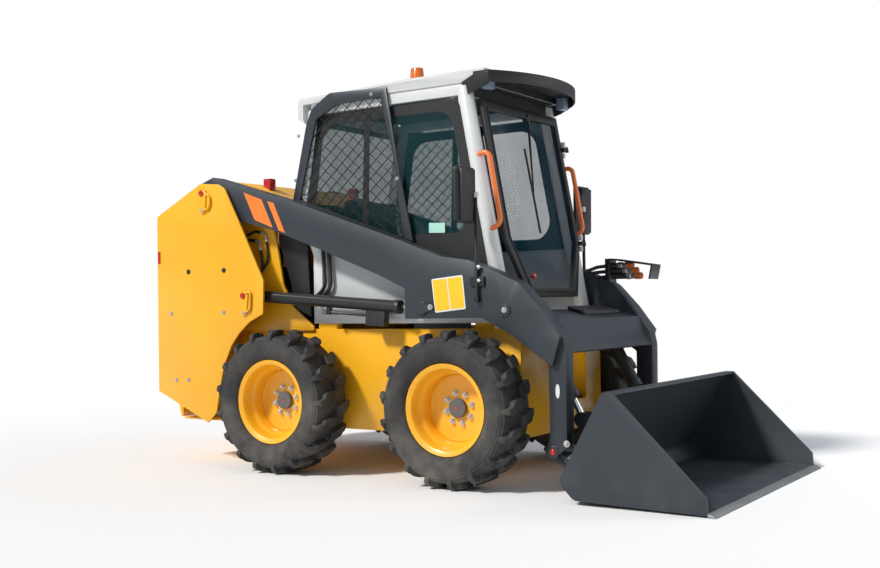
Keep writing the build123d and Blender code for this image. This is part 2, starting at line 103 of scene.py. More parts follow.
def lamp(name, kind, energy, at, towards, size, tint=(1, 1, 1)):
    """Lamp at one point, turned to look at another."""
    data = bpy.data.lights.new(name, kind)
    data.energy = energy
    data.color = tint
    if kind == "AREA":
        data.shape = "DISK"
        data.size = size
    else:
        data.angle = size
    lamp_object = bpy.data.objects.new(name, data)
    scene.collection.objects.link(lamp_object)
    lamp_object.location = at
    gaze = np.array(towards, float) - np.array(at, float)
    lamp_object.rotation_euler = (math.acos(-gaze[2] / np.linalg.norm(gaze)), 0,
                                  math.atan2(gaze[1], gaze[0]) - math.pi / 2)


lamp("sun", "SUN", 3.2, (-2.8, -5.0, 6.3), (0, 0, 0.8), 0.14, (1.0, 0.97, 0.92))
lamp("fill", "AREA", 70, (5.0, 3.0, 3.5), (0.3, 0, 0.9), 3.0)

# Shared surface effects
# One node group, "worn_paint", serves every opaque finish: slow colour drift, pale dust low down and on
# upward faces, patches of faint scratches, and fine orange peel. It puts out a drift factor, masks for dust
# and scratches, and a normal.
def group(name, ins, outs):
    """Node group with float or vector sockets: ins maps names to values, outs lists (name, kind)."""
    tree = bpy.data.node_groups.new(name, "ShaderNodeTree")
    for socket, value in ins.items():
        made = tree.interface.new_socket(socket, in_out="INPUT", socket_type="NodeSocketFloat")
        made.default_value = value
    for socket, kind in outs:
        tree.interface.new_socket(socket, in_out="OUTPUT", socket_type=kind)
    return tree, tree.nodes, tree.links, tree.nodes.new("NodeGroupInput"), tree.nodes.new("NodeGroupOutput")


def noise(nodes, links, scale, detail=3.0, rough=0.55, vector=None):
    """Noise texture on Object coordinates, or on the given vector."""
    texture = nodes.new("ShaderNodeTexNoise")
    texture.inputs["Scale"].default_value = scale
    texture.inputs["Detail"].default_value = detail
    texture.inputs["Roughness"].default_value = rough
    if vector is None:
        vector = nodes.new("ShaderNodeTexCoord").outputs["Object"]
    links.new(vector, texture.inputs["Vector"])
    return texture.outputs["Fac"]


def ramp(nodes, links, value, low, high, out_low=0.0, out_high=1.0):
    """Map Range node that carries low..high to out_low..out_high, clamped."""
    node = nodes.new("ShaderNodeMapRange")
    for socket, number in (("From Min", low), ("From Max", high), ("To Min", out_low), ("To Max", out_high)):
        node.inputs[socket].default_value = number
    links.new(value, node.inputs["Value"])
    return node.outputs["Result"]


def maths(nodes, links, operation, a, b):
    """Math node on two values, each a socket or a number."""
    node = nodes.new("ShaderNodeMath")
    node.operation = operation
    for i, value in enumerate((a, b)):
        if isinstance(value, (int, float)):
            node.inputs[i].default_value = value
        else:
            links.new(value, node.inputs[i])
    return node.outputs[0]


def worn_paint_group():
    """Group behind every opaque finish: a drift factor, a dust mask, a scratch mask and a normal."""
    tree, nodes, links, given, made = group(
        "worn_paint", {"Dust": 0.3, "Dust Height": 0.5, "Peel": 0.02, "Scratches": 0.2},
        (("Drift", "NodeSocketFloat"), ("Dust Mask", "NodeSocketFloat"), ("Scratch Mask", "NodeSocketFloat"),
         ("Normal", "NodeSocketVector")))
    where = nodes.new("ShaderNodeTexCoord").outputs["Object"]
    split = nodes.new("ShaderNodeSeparateXYZ")
    links.new(where, split.inputs[0])
    facing = nodes.new("ShaderNodeSeparateXYZ")
    links.new(nodes.new("ShaderNodeNewGeometry").outputs["Normal"], facing.inputs[0])
    risen = maths(nodes, links, "DIVIDE", split.outputs["Z"], given.outputs["Dust Height"])
    low_down = ramp(nodes, links, maths(nodes, links, "SUBTRACT", 1.0, risen), 0.0, 1.0)
    upward = ramp(nodes, links, facing.outputs["Z"], 0.6, 1.0, 0.0, 0.4)
    clouds = ramp(nodes, links, noise(nodes, links, 7.0, 6.0, 0.62, where), 0.40, 0.74)
    dust = maths(nodes, links, "MULTIPLY", maths(nodes, links, "MAXIMUM", low_down, upward), clouds)
    dust = maths(nodes, links, "MULTIPLY", dust, given.outputs["Dust"])
    links.new(dust, made.inputs["Dust Mask"])
    drift = ramp(nodes, links, noise(nodes, links, 2.3, 2.0, 0.5, where), 0.3, 0.7, 0.94, 1.05)
    links.new(drift, made.inputs["Drift"])
    stretch = nodes.new("ShaderNodeMapping")
    stretch.inputs["Scale"].default_value = (3.0, 60.0, 90.0)
    stretch.inputs["Rotation"].default_value = (0.4, 0.25, 0.1)
    links.new(where, stretch.inputs["Vector"])
    hairlines = ramp(nodes, links, noise(nodes, links, 2.0, 4.0, 0.7, stretch.outputs[0]), 0.66, 0.70)
    patches = ramp(nodes, links, noise(nodes, links, 5.0, 2.0, 0.5, where), 0.52, 0.66)
    scratches = maths(nodes, links, "MULTIPLY", hairlines, patches)
    scratches = maths(nodes, links, "MULTIPLY", scratches, given.outputs["Scratches"])
    links.new(scratches, made.inputs["Scratch Mask"])
    peel = nodes.new("ShaderNodeBump")
    peel.inputs["Distance"].default_value = 0.002
    links.new(given.outputs["Peel"], peel.inputs["Strength"])
    links.new(noise(nodes, links, 140.0, 2.0, 0.5, where), peel.inputs["Height"])
    links.new(peel.outputs[0], made.inputs["Normal"])
    return tree


paint_tree = worn_paint_group()


def place(nodes, tree, **values):
    """Puts a group into a material with its own values."""
    node = nodes.new("ShaderNodeGroup")
    node.node_tree = tree
    for socket, value in values.items():
        node.inputs[socket.replace("_", " ")].default_value = value
    return node


def tinted(nodes, links, colour, factor):
    """Colour multiplied by a drifting value."""
    node = nodes.new("ShaderNodeVectorMath")
    node.operation = "SCALE"
    node.inputs[0].default_value = colour
    links.new(factor, node.inputs["Scale"])
    return node.outputs[0]


def blend_colour(nodes, links, factor, a, b):
    """Mix node on colours, each a socket or a tuple."""
    node = nodes.new("ShaderNodeMix")
    node.data_type = "RGBA"
    links.new(factor, node.inputs["Factor"])
    for socket, value in ((node.inputs[6], a), (node.inputs[7], b)):
        if isinstance(value, tuple):
            socket.default_value = (*value, 1)
        else:
            links.new(value, socket)
    return node.outputs[2]


DUST_COLOUR = (0.42, 0.38, 0.32)


def paint(name, colour, roughness, dust=0.3, dust_height=0.5, peel=0.02, scratches=0.15, scratch_colour=None,
          coat=0.0, metallic=0.0):
    """Painted metal: drifting colour, dust, faint scratches and orange peel."""
    material = bpy.data.materials.new(name)
    nodes, links, out = nodes_of(material)
    shader = nodes.new("ShaderNodeBsdfPrincipled")
    worn = place(nodes, paint_tree, Dust=dust, Dust_Height=dust_height, Peel=peel, Scratches=scratches)
    base = tinted(nodes, links, colour, worn.outputs["Drift"])
    base = blend_colour(nodes, links, worn.outputs["Scratch Mask"], base,
                        scratch_colour or tuple(min(1.0, c * 1.6 + 0.05) for c in colour))
    base = blend_colour(nodes, links, worn.outputs["Dust Mask"], base, DUST_COLOUR)
    links.new(base, shader.inputs["Base Color"])
    spread = ramp(nodes, links, worn.outputs["Dust Mask"], 0.0, 0.6, roughness, min(1.0, roughness + 0.35))
    links.new(spread, shader.inputs["Roughness"])
    shader.inputs["Metallic"].default_value = metallic
    shader.inputs["Coat Weight"].default_value = coat
    shader.inputs["Coat Roughness"].default_value = 0.12
    links.new(worn.outputs["Normal"], shader.inputs["Normal"])
    links.new(shader.outputs[0], out.inputs["Surface"])
    return material


# Pale floor
# It takes the machine's shadow. For the camera alone it fades to the backdrop's white between 2.2 and 5 m
# from the middle.
FADE_FROM, FADE_TO, FLOOR_HALF = 2.2, 5.0, 30
floor_material = bpy.data.materials.new("pale_floor")
floor_nodes, floor_links, floor_out = nodes_of(floor_material)
floor_shader = floor_nodes.new("ShaderNodeBsdfPrincipled")
floor_shader.inputs["Roughness"].default_value = 0.9
floor_colour = blend_colour(floor_nodes, floor_links, noise(floor_nodes, floor_links, 30.0, 5.0),
                            (0.86, 0.86, 0.86), (0.90, 0.90, 0.90))
floor_links.new(floor_colour, floor_shader.inputs["Base Color"])
floor_glow = floor_nodes.new("ShaderNodeEmission")
floor_path = floor_nodes.new("ShaderNodeLightPath")
floor_glow.inputs["Strength"].default_value = 1.0
floor_mix = floor_nodes.new("ShaderNodeMixShader")
floor_away = floor_nodes.new("ShaderNodeNewGeometry")
from_middle = floor_nodes.new("ShaderNodeVectorMath")
from_middle.operation = "LENGTH"
floor_links.new(floor_away.outputs["Position"], from_middle.inputs[0])
fade = ramp(floor_nodes, floor_links, from_middle.outputs["Value"], FADE_FROM, FADE_TO)
fade = maths(floor_nodes, floor_links, "MULTIPLY", fade, floor_path.outputs["Is Camera Ray"])
floor_links.new(fade, floor_mix.inputs[0])
floor_links.new(floor_shader.outputs[0], floor_mix.inputs[1])
floor_links.new(floor_glow.outputs[0], floor_mix.inputs[2])
floor_links.new(floor_mix.outputs[0], floor_out.inputs["Surface"])
floor_mesh = bpy.data.meshes.new("floor")
floor_mesh.from_pydata([(x * FLOOR_HALF, y * FLOOR_HALF, 0) for x, y in ((-1, -1), (1, -1), (1, 1), (-1, 1))],
                       [], [(0, 1, 2, 3)])
floor = bpy.data.objects.new("floor", floor_mesh)
scene.collection.objects.link(floor)
floor_mesh.materials.append(floor_material)

# Finishes of the carried-over pieces
# Yellow body steel, charcoal arms and bucket, pale cab steel, black plastic and steel, glass, chrome.
# Every rigid piece keeps its shape; a weld and a small bevel round its edges as pressing and paint do.
YELLOW = paint("body_yellow", (0.90, 0.44, 0.010), 0.36, dust=0.10, dust_height=0.9, coat=0.25)
CHARCOAL = paint("arm_charcoal", (0.025, 0.032, 0.041), 0.45, dust=0.05, dust_height=0.35, scratches=0.25,
                 coat=0.05)
PALE = paint("cab_pale", (0.66, 0.67, 0.67), 0.38, dust=0.1, coat=0.2)
PANEL_GREY = paint("panel_grey", (0.50, 0.52, 0.53), 0.5, dust=0.2, dust_height=1.4)
BLACK_STEEL = paint("black_steel", (0.016, 0.017, 0.019), 0.45, dust=0.25, dust_height=0.9)
BLACK_PLASTIC = paint("black_plastic", (0.010, 0.011, 0.012), 0.55, dust=0.05, peel=0.25, scratches=0.05)
ORANGE = paint("handle_orange", (0.85, 0.19, 0.035), 0.38, dust=0.1, coat=0.3)
CAST = paint("cast_iron", (0.03, 0.03, 0.03), 0.7, dust=0.3, dust_height=1.2, peel=0.5)
RUBBER = paint("hose_rubber", (0.012, 0.012, 0.013), 0.6, dust=0.3, dust_height=1.4, peel=0.2)
TREAD = paint("tyre_rubber", (0.026, 0.026, 0.027), 0.75, dust=0.28, dust_height=1.1, peel=0.35,
              scratches=0.1)
STEEL = paint("bright_steel", (0.42, 0.42, 0.41), 0.34, dust=0.35, peel=0.1, scratches=0.8,
              scratch_colour=(0.2, 0.19, 0.18), metallic=1.0)
CHROME = paint("chrome_rod", (0.82, 0.82, 0.84), 0.08, dust=0.04, peel=0.01, scratches=0.1, metallic=1.0)
RED = paint("red_lens", (0.55, 0.012, 0.012), 0.2, dust=0.05, coat=0.6)
VINYL = paint("seat_vinyl", (0.010, 0.011, 0.014), 0.6, dust=0.03, peel=0.12, scratches=0.03)


def glass(name, tint, cover, roughness=0.02):
    """Tinted pane or lens. Cover is the share of what lies behind that one face hides; noise smudges it and
    the gloss a little."""
    material = bpy.data.materials.new(name)
    nodes, links, out = nodes_of(material)
    pane = nodes.new("ShaderNodeBsdfPrincipled")
    pane.inputs["Base Color"].default_value = (*tint, 1)
    pane.inputs["Metallic"].default_value = 0.0
    pane.inputs["IOR"].default_value = 1.45
    links.new(ramp(nodes, links, noise(nodes, links, 9.0, 5.0), 0.4, 0.8, roughness, roughness + 0.05),
              pane.inputs["Roughness"])
    links.new(ramp(nodes, links, noise(nodes, links, 6.0, 4.0), 0.35, 0.75, cover, cover + 0.05),
              pane.inputs["Alpha"])
    links.new(pane.outputs[0], out.inputs["Surface"])
    return material


GLASS = glass("tinted_glass", (0.007, 0.045, 0.050), 0.36)
DOOR_GLASS = glass("door_glass_clear", (0.010, 0.085, 0.135), 0.11)
AMBER = glass("amber_lens", (0.75, 0.16, 0.02), 0.92, 0.15)
LENS = glass("lamp_lens", (0.20, 0.26, 0.35), 0.93, 0.1)

FINISH = {
    YELLOW: "main_frame rear_towers tower_inner_plates rear_door hood rear_bumper "
            "rim_front_right rim_front_left rim_rear_right rim_rear_left",
    CHARCOAL: "lift_arms bucket coupler side_guards",
    PALE: "cab_frame cab_roof",
    PANEL_GREY: "side_panels",
    BLACK_STEEL: "lift_barrel_right lift_barrel_left tilt_barrel_right tilt_barrel_left "
                 "cab_floor side_covers radiator step aux_couplers",
    BLACK_PLASTIC: "guard_wires_rising guard_wires_falling control_boxes mirrors visor seat_base door_frame",
    ORANGE: "grab_handles",
    CAST: "engine_block axle_housings",
    RUBBER: "hoses",
    TREAD: "tyre_front_right tyre_front_left tyre_rear_right tyre_rear_left",
    STEEL: "cutting_edge",
    CHROME: "lift_rod_right lift_rod_left tilt_rod_right tilt_rod_left",
    RED: "rear_lamps",
    VINYL: "seat_cushion seat_back",
    GLASS: "cab_windows",
    DOOR_GLASS: "door_glass",
    AMBER: "beacon",
    LENS: "work_lamps",
}
PLAIN_EDGES = {"cab_windows", "door_glass"}
WELD_DISTANCE, STEEL_EDGE, GLASS_EDGE, SHARP_FROM = 0.00005, 0.0025, 0.0006, 28
for finish, names in FINISH.items():
    for name in names.split():
        cad = NODES[name]
        cad.data.materials.clear()
        cad.data.materials.append(finish)
        cad.data.polygons.foreach_set("use_smooth", np.ones(len(cad.data.polygons), bool))
        weld = cad.modifiers.new("weld", "WELD")
        weld.merge_threshold = WELD_DISTANCE
        bevel = cad.modifiers.new("bevel", "BEVEL")
        bevel.width = GLASS_EDGE if name in PLAIN_EDGES else STEEL_EDGE
        bevel.segments = 2
        bevel.limit_method = "ANGLE"
        bevel.angle_limit = math.radians(SHARP_FROM)
        bevel.harden_normals = True

# Shapes
# New pieces are arrays of points worked out from one or two parameters, in millimetres and in the frame's
# axes (x ahead, y to the left, z up), joined here into closed meshes. Side work is drawn once, with y
# pointing outwards, and mirrored.
SIDES = (("right", -1), ("left", 1))
OUTWARDS = (0, 1, 0)
WHEEL_Y, AXLE_Z = 643, 386.5
AXLES = (("front", 373), ("rear", -742))


def skin(points, wrap=False):
    """Closed skin over points[row, column]: a row is a closed ring, and quad (i, j) joins rings i and i + 1
    between columns j and j + 1. The rings close on each other (wrap) or end in a flat cap each."""
    points = np.asarray(points, float)
    rows, columns = points.shape[:2]
    i, j = np.meshgrid(np.arange(rows if wrap else rows - 1), np.arange(columns), indexing="ij")
    i_next, j_next = (i + 1) % rows, (j + 1) % columns
    here, beyond = i * columns, i_next * columns
    quads = np.stack([here + j, here + j_next, beyond + j_next, beyond + j], -1)
    faces = quads.reshape(-1, 4).tolist()
    if not wrap:
        faces += [list(range(columns)), list(range((rows - 1) * columns, rows * columns))]
    return points.reshape(-1, 3), faces


def axes_across(axis):
    """Unit axis and two unit vectors across it."""
    axis = np.asarray(axis, float) / np.linalg.norm(axis)
    first = np.cross(axis, (0, 0, 1) if abs(axis[2]) < 0.9 else (1, 0, 0))
    first /= np.linalg.norm(first)
    return axis, first, np.cross(axis, first)


def lathe(profile, centre, axis, steps=48, wrap=False):
    """Turned form: point (i, j) = centre + h_i a + r_i (u cos t_j + v sin t_j), with t_j = 2 pi j / steps."""
    axis, u, v = axes_across(axis)
    r, h = np.asarray(profile, float).T[:, :, None, None]
    t = (2 * np.pi * np.arange(steps) / steps)[None, :, None]
    return skin(np.asarray(centre, float) + h * axis + r * (u * np.cos(t) + v * np.sin(t)), wrap)


def tube(path, radius, sides=12):
    """Round bar: ring i lies across the path at point i, its first axis carried over from ring i - 1."""
    path = np.asarray(path, float)
    along = np.gradient(path, axis=0)
    along /= np.linalg.norm(along, axis=1)[:, None]
    t = 2 * np.pi * np.arange(sides) / sides
    rings, u = [], axes_across(along[0])[1]
    for point, a, r in zip(path, along, np.broadcast_to(radius, len(path))):
        u = u - a * (u @ a)
        u /= np.linalg.norm(u)
        rings.append(point + r * (np.cos(t)[:, None] * u + np.sin(t)[:, None] * np.cross(a, u)))
    return skin(rings)


def bent(path, radius, steps=6):
    """Path whose inner corners are arcs of that radius, tangent to both legs."""
    path = np.asarray(path, float)
    out = [path[0]]
    for before, corner, after in zip(path, path[1:], path[2:]):
        a, b = before - corner, after - corner
        la, lb = np.linalg.norm(a), np.linalg.norm(b)
        a, b = a / la, b / lb
        half = math.acos(np.clip(a @ b, -1, 1)) / 2
        reach = min(radius / math.tan(half), la * 0.48, lb * 0.48)
        r = reach * math.tan(half)
        middle = (a + b) / np.linalg.norm(a + b)
        centre = corner + middle * r / math.sin(half)
        turn = np.pi / 2 - half
        side = (a - b) / np.linalg.norm(a - b)
        for t in np.linspace(turn, -turn, steps):
            out.append(centre - middle * r * math.cos(t) + side * r * math.sin(t))
    return np.array([*out, path[-1]])


def rounded(outline, radius, steps=5):
    """Closed outline whose corners are arcs of that radius."""
    outline = [tuple(p) for p in outline]
    start = tuple((np.array(outline[0]) + outline[-1]) / 2)
    return bent([start, *outline, start], radius, steps)[:-1]


def prism(outline, low, high, across="y"):
    """Plate: an outline in the two other axes, from low to high along the named one."""
    outline = np.asarray(outline, float)
    return skin([np.insert(outline, "xyz".index(across), level, axis=1) for level in (low, high)])


def block(low, high):
    """Box from its lowest to its highest corner."""
    (x0, y0, z0), (x1, y1, z1) = low, high
    return prism([(x0, z0), (x1, z0), (x1, z1), (x0, z1)], y0, y1)


def bolt(at, axis, size=8.0, height=None):
    """Hexagon head on a round washer, its stud's end showing; size is half the head's width over corners."""
    height = height or size * 0.9
    return [lathe([(size * 1.45, -1), (size * 1.45, 2.2), (size * 0.8, 2.4)], at, axis, 20),
            lathe([(size, 1), (size, height - 1.2), (size * 0.86, height)], at, axis, 6),
            lathe([(size * 0.55, height - 1), (size * 0.5, height + 2.5)], at, axis, 10)]


def on_side(xz, y):
    """Point at an (x, z) place, y outwards."""
    return xz[0], y, xz[1]


def mirrored(side, shapes):
    """Shapes drawn with y outwards, put on one side."""
    return [(vertices * (1, side, 1), faces) for vertices, faces in shapes]


def piece(name, shapes, material, body, stands_for=(), crease=32):
    """Joins shapes into one closed-skinned object, in metres, that rides on a body and names its finish."""
    vertices, faces, start = [], [], 0
    for points, polygons in shapes:
        vertices.append(points)
        faces += [[start + k for k in polygon] for polygon in polygons]
        start += len(points)
    mesh = bpy.data.meshes.new(name)
    mesh.from_pydata((np.concatenate(vertices) / 1000).tolist(), [], faces)
    shape = bmesh.new()
    shape.from_mesh(mesh)
    bmesh.ops.recalc_face_normals(shape, faces=shape.faces)
    shape.to_mesh(mesh)
    shape.free()
    mesh.polygons.foreach_set("use_smooth", np.ones(len(mesh.polygons), bool))
    mesh.set_sharp_from_angle(angle=math.radians(crease))
    mesh.materials.append(material)
    made = bpy.data.objects.new(name, mesh)
    scene.collection.objects.link(made)
    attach(made, body)
    if stands_for:
        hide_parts(*stands_for)


# Tyres
# A turned casing with a moulded line round the shoulder, and 17 slanted lugs on each side of its middle,
# half a pitch apart. A lug is a strip from there over the shoulder and a little way down the sidewall.
LUGS, TREAD_R = 17, 386
CASING = [(227, 92), (231, 103), (243, 116), (262, 126), (284, 131), (304, 131.5), (321, 128.5), (325, 125.5),
          (328, 127), (333, 126), (336, 122), (346, 117), (353, 104), (357, 70), (358.5, 30), (358.5, 0)]
BEADS = [(209, -90), (209, 90)]
# the lug along its length: y and r of its top, y and r of its foot, its two edges in t along the tread
LUG_ROWS = np.array([
    (5, 380, 9, 340, -30, 14), (8, 386, 9, 340, -33, 18), (34, 386.3, 34, 340, -34, 27),
    (62, 385.8, 62, 340, -28, 36), (84, 384.5, 84, 340, -18, 45), (90, 383.8, 89, 340, -6, 47),
    (94, 383, 92, 340, 4, 47), (108, 380, 100, 335, 10, 45), (120, 373, 106, 330, 13, 44),
    (127, 362, 110, 325, 14, 44), (130, 348, 112, 320, 16, 43), (129, 338, 112, 318, 20, 40)])


def lug(angle, side, chamfer=3.0):
    """Lug strip: ring i has foot, wall, bevel and top points at angle + t / TREAD_R, with row i's radii."""
    rows = []
    for y, r, y_foot, r_foot, left, right in LUG_ROWS:
        down = np.array([r_foot - r, y_foot - y], float)
        down /= np.linalg.norm(down)
        y_wall, r_wall = y + down[1] * chamfer, r + down[0] * chamfer
        ring = []
        for t, y_at, r_at in ((left, y_foot, r_foot), (left, y_wall, r_wall), (left + chamfer, y, r),
                              (right - chamfer, y, r), (right, y_wall, r_wall), (right, y_foot, r_foot)):
            phi = angle + side * t / TREAD_R
            ring.append((r_at * math.sin(phi), side * y_at, r_at * math.cos(phi)))
        rows.append(ring)
    return skin(rows)


tyre_section = CASING + [(r, -y) for r, y in CASING[-2::-1]] + BEADS
lugs = [lug(2 * np.pi * (i + (0.5 if half < 0 else 0)) / LUGS, half) for i in range(LUGS) for half in (1, -1)]
tyre_parts = [lathe(tyre_section, (0, 0, 0), OUTWARDS, 102, wrap=True), *lugs]
for side_name, side in SIDES:
    for end, axle_x in AXLES:
        hub = np.array((axle_x, side * WHEEL_Y, AXLE_Z))
        placed = [(vertices + hub, faces) for vertices, faces in mirrored(side, tyre_parts)]
        piece(f"tyre_visual_{end}_{side_name}", placed, TREAD, f"wheel_{end}_{side_name}",
              [f"tyre_{end}_{side_name}"], 26)

# Rims
# A turned deep-dish rim with a rolled lip, a stepped barrel and a flat disc, eight zinc wheel nuts, a grey
# hub cap with its small red centre, and a valve. Profile points are (radius, distance out from the middle).
RIM = [(2, -38), (150, -38), (157, -37), (161, -33), (163, -30), (165, -34), (168, -30), (169, -4), (171, 16),
       (175, 28), (182, 35), (188, 44), (191, 62), (194, 80), (200, 91), (209, 96), (217, 99), (222, 101),
       (225, 100.5), (225.5, 98), (221, 95), (211, 92), (208, 88), (208, -88), (212, -94), (222, -99),
       (225, -101), (200, -100), (168, -58), (150, -52), (2, -52)]
HUB_CAP = [(48, -40), (48, -17), (46, -14.6), (42, -14), (9, -14)]
CAP_CENTRE = [(6.5, -15), (6.5, -12), (4, -11)]
WASHER = [(16, -1), (16, 2.5), (12, 3)]
NUT = [(12.5, 1), (12.5, 13), (10.5, 15)]
STUD = [(7, 13), (7, 21), (5.5, 22.5)]
DISC_FACE, NUT_CIRCLE, NUTS, FIRST_NUT = -38, 76, 8, 0.32
HUB_GREY = paint("hub_grey", (0.10, 0.10, 0.105), 0.5, dust=0.2, dust_height=0.5)
ZINC = paint("zinc", (0.66, 0.66, 0.64), 0.32, dust=0.15, peel=0.05, scratches=0.3, metallic=0.85)
for side_name, side in SIDES:
    out = np.array((0, side, 0))
    for end, axle_x in AXLES:
        body = f"wheel_{end}_{side_name}"
        hub = np.array((axle_x, side * WHEEL_Y, AXLE_Z))
        piece(f"rim_visual_{end}_{side_name}", [lathe(RIM, hub, out, 96)], YELLOW, body,
              [f"rim_{end}_{side_name}"], 30)
        piece(f"hub_cap_{end}_{side_name}", [lathe(HUB_CAP, hub, out, 56)], HUB_GREY, body)
        piece(f"hub_centre_{end}_{side_name}", [lathe(CAP_CENTRE, hub, out, 20)], RED, body)
        nuts = []
        for k in range(NUTS):
            turn = 2 * np.pi * (k + FIRST_NUT) / NUTS
            foot = hub + out * DISC_FACE + NUT_CIRCLE * np.array((math.cos(turn), 0, math.sin(turn)))
            nuts += [lathe(WASHER, foot, out, 24), lathe(NUT, foot, out, 6), lathe(STUD, foot, out, 14)]
        valve = hub + np.array((60, side * 70, 190))
        stem = [valve, valve + out * 14 + (0, 0, -3), valve + out * 27 + (0, 0, -8)]
        nuts.append(tube(stem, (4, 4, 2.6), 10))
        piece(f"wheel_nuts_{end}_{side_name}", nuts, ZINC, body)

# Boom markings
# Two slanted orange stripes on each arm's outer face, and a blank yellow plate in two parts on a white
# ground. The mint paint is the window sticker's.
ARM_FACE = 585
MARK_ORANGE = paint("mark_orange", (0.86, 0.22, 0.03), 0.35, dust=0.05, dust_height=1.0)
MARK_YELLOW = paint("mark_yellow", (0.95, 0.56, 0.02), 0.35, dust=0.05, dust_height=1.0)
MARK_WHITE = paint("mark_white", (0.78, 0.78, 0.76), 0.35, dust=0.05, dust_height=1.0)
MINT = paint("sticker_mint", (0.42, 0.74, 0.62), 0.4, dust=0.05, dust_height=1.0)
STRIPES = ([(-1057, 1545), (-922, 1497), (-842, 1335), (-975, 1385)],
           [(-880, 1485), (-834, 1472), (-753, 1302), (-799, 1318)])
PLATE_CORNERS = np.array([(207, 1024), (391, 1041), (408, 873), (227, 855)], float)


def sticker(outline, face, proud=0.6):
    """Thin plate on a face that looks outwards, its back half a millimetre inside it."""
    return prism(outline, face - 0.5, face + proud)


def on_plate(u0, u1, v0, v1):
    """Part of the plate between fractions u along its top edge and v down its side: each corner blends the
    top edge's point with the lower edge's."""
    a, b, c, d = PLATE_CORNERS
    return [(a * (1 - u) + b * u) * (1 - v) + (d * (1 - u) + c * u) * v
            for u, v in ((u0, v0), (u1, v0), (u1, v1), (u0, v1))]


for side_name, side in SIDES:
    stripes = [sticker(outline, ARM_FACE) for outline in STRIPES]
    piece(f"boom_stripes_{side_name}", mirrored(side, stripes), MARK_ORANGE, "lift_arms")
    ground = sticker(rounded(on_plate(0, 1, 0, 1), 7), ARM_FACE)
    piece(f"boom_plate_{side_name}", mirrored(side, [ground]), MARK_WHITE, "lift_arms")
    halves = [prism(rounded(on_plate(u, v, 0.04, 0.96), 5), ARM_FACE, ARM_FACE + 1)
              for u, v in ((0.03, 0.485), (0.515, 0.97))]
    piece(f"boom_plate_panels_{side_name}", mirrored(side, halves), MARK_YELLOW, "lift_arms")

# Pins and bolts
# On the towers: pin retainer flags with a bent bar each, red grease caps, black plugs and zinc bolts. On the
# side guards: zinc bolts. Places are (x, z).
TOWER_FACE, GUARD_FACE = 612, 478
FLAG_FACE = TOWER_FACE + 8
# each pin, its retainer's bolt, and the upper corner of the bent bar between them
TOWER_PINS = (((-1354, 1557), (-1347, 1457), (-1286, 1532)), ((-1041, 961), (-1035, 865), (-982, 988)))
TOWER_BOLTS = [(-1616, 865), (-1194, 868), (-1581, 474), (-1482, 477)]
PLUGS = [(-1471, 1107), (-1190, 1108)]
GUARD_BOLTS = [(-628, 2004), (-230, 2022), (-736, 1846), (-762, 1600), (-70, 1560), (-700, 1500)]


def flag(pin, bolt_at, r_pin, r_bolt, low, high):
    """Plate round a pin and a bolt: two arcs and their common tangents, thick from low to high."""
    pin, bolt_at = np.array(pin, float), np.array(bolt_at, float)
    gap = bolt_at - pin
    length = np.linalg.norm(gap)
    lean = math.acos((r_pin - r_bolt) / length)
    towards = math.atan2(gap[1], gap[0])
    big = np.linspace(towards + lean, towards + 2 * np.pi - lean, 22)
    small = np.linspace(towards - lean, towards + lean, 12)
    outline = [*(pin + r_pin * np.array((math.cos(t), math.sin(t))) for t in big),
               *(bolt_at + r_bolt * np.array((math.cos(t), math.sin(t))) for t in small)]
    return prism(outline, low, high)


def face_bolts(places, face, size):
    """Bolts on a face that looks outwards, at (x, z) places."""
    return [shape for place in places for shape in bolt(on_side(place, face), OUTWARDS, size)]


for side_name, side in SIDES:
    flags = [flag(pin, bolt_at, 36, 19, TOWER_FACE - 1, FLAG_FACE) for pin, bolt_at, corner in TOWER_PINS]
    for pin, bolt_at, corner in TOWER_PINS:
        route = ((pin[0] + 18, pin[1] + 12), corner, (corner[0] - 4, bolt_at[1] + 12), bolt_at)
        flags.append(tube(bent([on_side(place, FLAG_FACE + 1) for place in route], 30), 7))
    piece(f"tower_pin_flags_{side_name}", mirrored(side, flags), YELLOW, "chassis")
    raised = face_bolts([bolt_at for pin, bolt_at, corner in TOWER_PINS], FLAG_FACE, 9)
    flat = face_bolts(TOWER_BOLTS, TOWER_FACE, 9)
    piece(f"tower_bolts_{side_name}", mirrored(side, raised + flat), ZINC, "chassis")
    plugs = [lathe([(15, -1), (15, 1.5), (12, 3), (4, 3)], on_side(place, TOWER_FACE), OUTWARDS, 24)
             for place in PLUGS]
    piece(f"tower_plugs_{side_name}", mirrored(side, plugs), BLACK_PLASTIC, "chassis")
    caps = [lathe([(17, -1), (17, 5), (13, 10), (5, 12)], on_side(pin, FLAG_FACE), OUTWARDS, 24)
            for pin, bolt_at, corner in TOWER_PINS]
    piece(f"tower_pin_caps_{side_name}", mirrored(side, caps), RED, "chassis")
    guard_bolts = face_bolts(GUARD_BOLTS, GUARD_FACE, 7)
    piece(f"guard_bolts_{side_name}", mirrored(side, guard_bolts), ZINC, "chassis")

